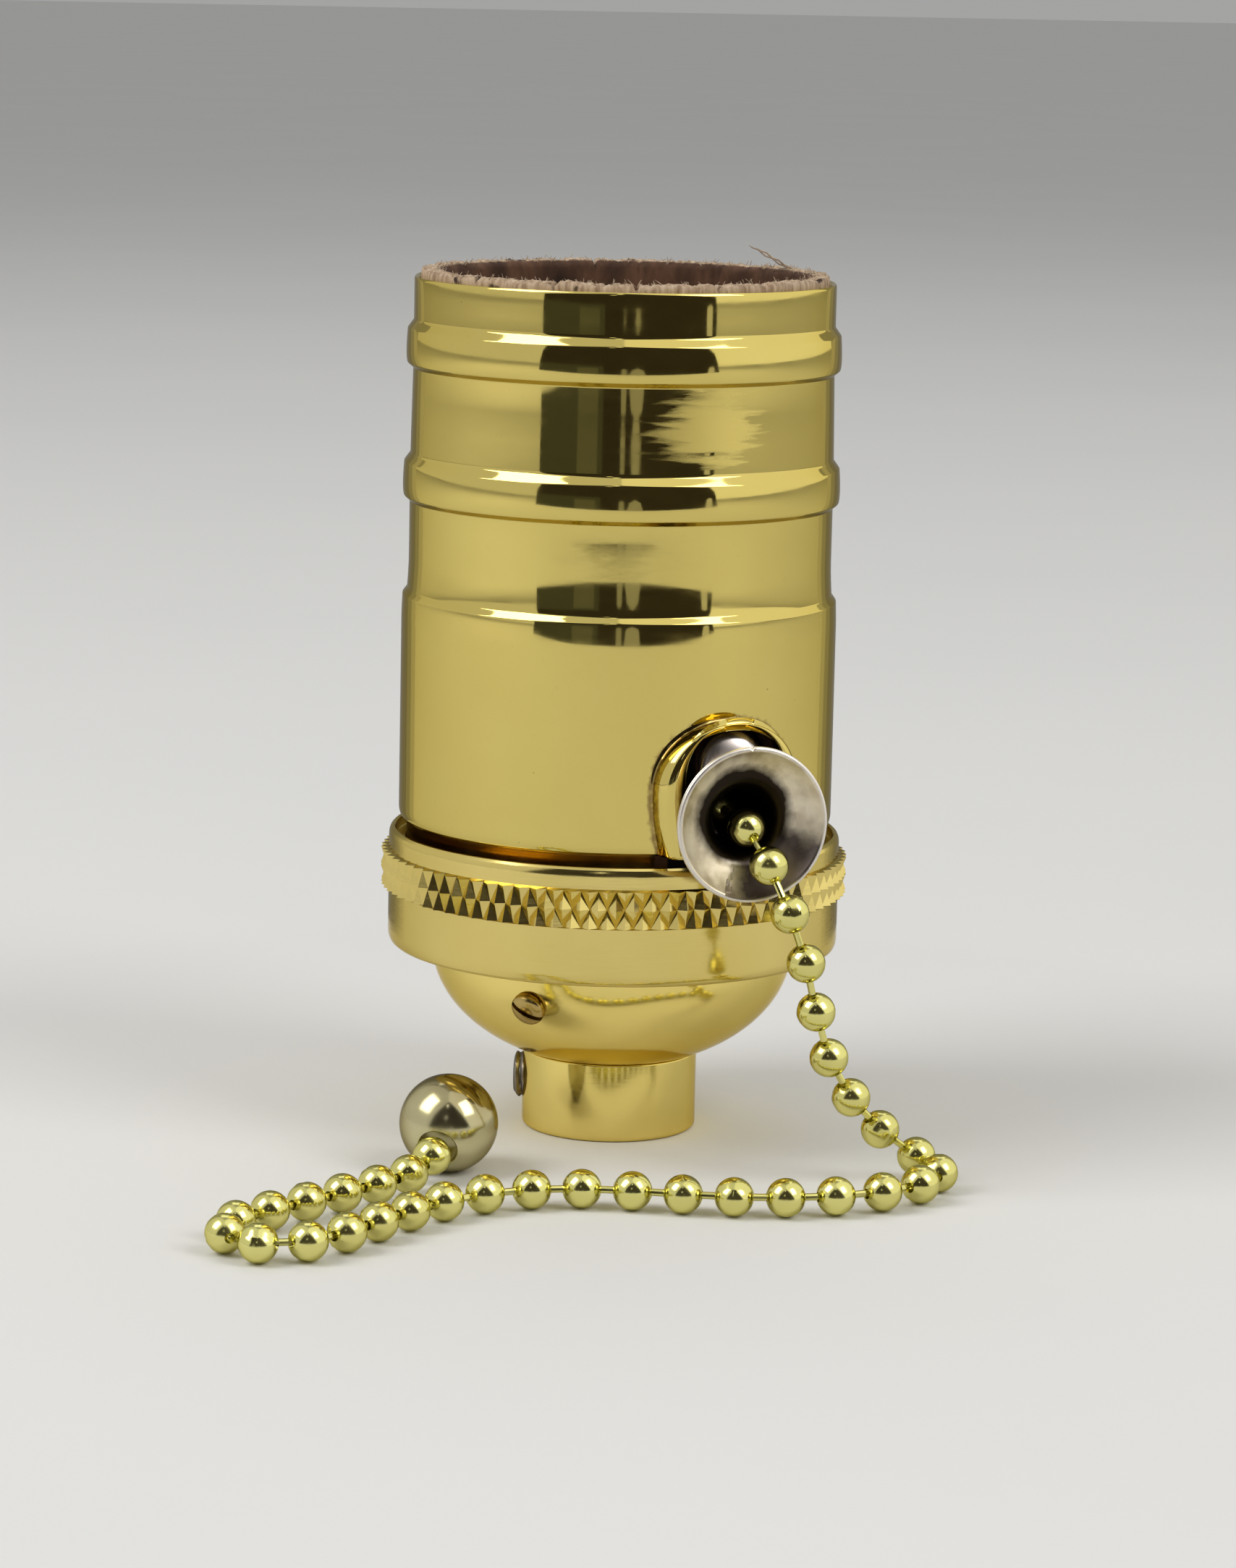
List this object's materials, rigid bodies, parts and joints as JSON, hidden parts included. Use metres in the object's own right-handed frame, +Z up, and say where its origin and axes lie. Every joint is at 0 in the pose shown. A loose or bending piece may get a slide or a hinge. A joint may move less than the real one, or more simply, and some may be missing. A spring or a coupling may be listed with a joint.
{
  "type": "pull-chain lampholder",
  "caption": "Brass lampholder with a built-in pull-chain switch: beaded shell, knurled collar, domed cap on a threaded hub, and a ball chain with an end ball.",
  "frame": {"origin": "centre of the hub's bottom face, on the axis of its thread", "axes": "+Z up along the holder's axis, out of the lamp opening; the chain is pulled along -Y"},
  "size_m": [0.0652, 0.0588, 0.0739],
  "materials": {
    "polished_brass": "polished, clear lacquered",
    "turned_brass": "turned, satin",
    "chain_brass": "bright drawn brass",
    "tarnished_nickel_brass": "polished, slightly tarnished",
    "nickel": "nickel plated",
    "steel": "plain steel",
    "dark_brass": "oxidised",
    "fibre": "vulcanised fibre",
    "moulding": "phenolic moulding",
    "contact_brass": "plain strip"
  },
  "bodies": {
    "socket": {"cap_hub": "turned_brass", "hub_set_screw": "dark_brass", "cap_dome": "turned_brass", "cap_liner": "fibre", "dome_screw": "dark_brass", "knurled_collar": "turned_brass", "outer_shell": "polished_brass", "insulating_liner": "fibre", "screw_shell": "contact_brass", "screw_shell_rivets": "contact_brass", "lamp_insulator": "moulding", "center_contact": "contact_brass", "center_contact_rivet": "contact_brass", "switch_housing": "moulding", "housing_screws": "steel", "spindle": "steel", "return_spring": "steel", "stop_pawl": "steel", "line_contact": "contact_brass", "load_contact": "contact_brass", "neutral_terminal": "contact_brass", "line_terminal_screw": "contact_brass", "neutral_terminal_screw": "nickel", "guide_bracket": "nickel", "guide_rivet": "steel", "chain_guide": "nickel"},
    "chain": {"chain_draw_end": "chain_brass", "pull_chain": "chain_brass", "end_ball": "tarnished_nickel_brass"},
    "lever": {"pull_lever": "steel", "drive_pawl": "steel"},
    "rotor": {"ratchet_wheel": "contact_brass", "switch_rotor": "moulding", "rotor_bridge": "contact_brass"}
  },
  "joints": [
    {"name": "chain_pull", "type": "slide", "parent": "socket", "child": "chain", "axis": [0, -1, 0], "range_m": [0, 0.008], "stiffness_N_per_m": 600, "springref_m": -0.004},
    {"name": "lever_swing", "type": "hinge", "parent": "socket", "child": "lever", "pos_m": [0, 0, 0.0304], "axis": [0, 0, -1], "range_deg": [0, 90]},
    {"name": "rotor_turn", "type": "hinge", "parent": "socket", "child": "rotor", "pos_m": [0, 0, 0.0354], "axis": [0, 0, -1], "range_deg": [0, 90]}
  ],
  "couplings": [
    {"joint": "lever_swing", "follows": "chain_pull", "rad_per_m": 196.35},
    {"joint": "rotor_turn", "follows": "chain_pull", "rad_per_m": 196.35}
  ]
}
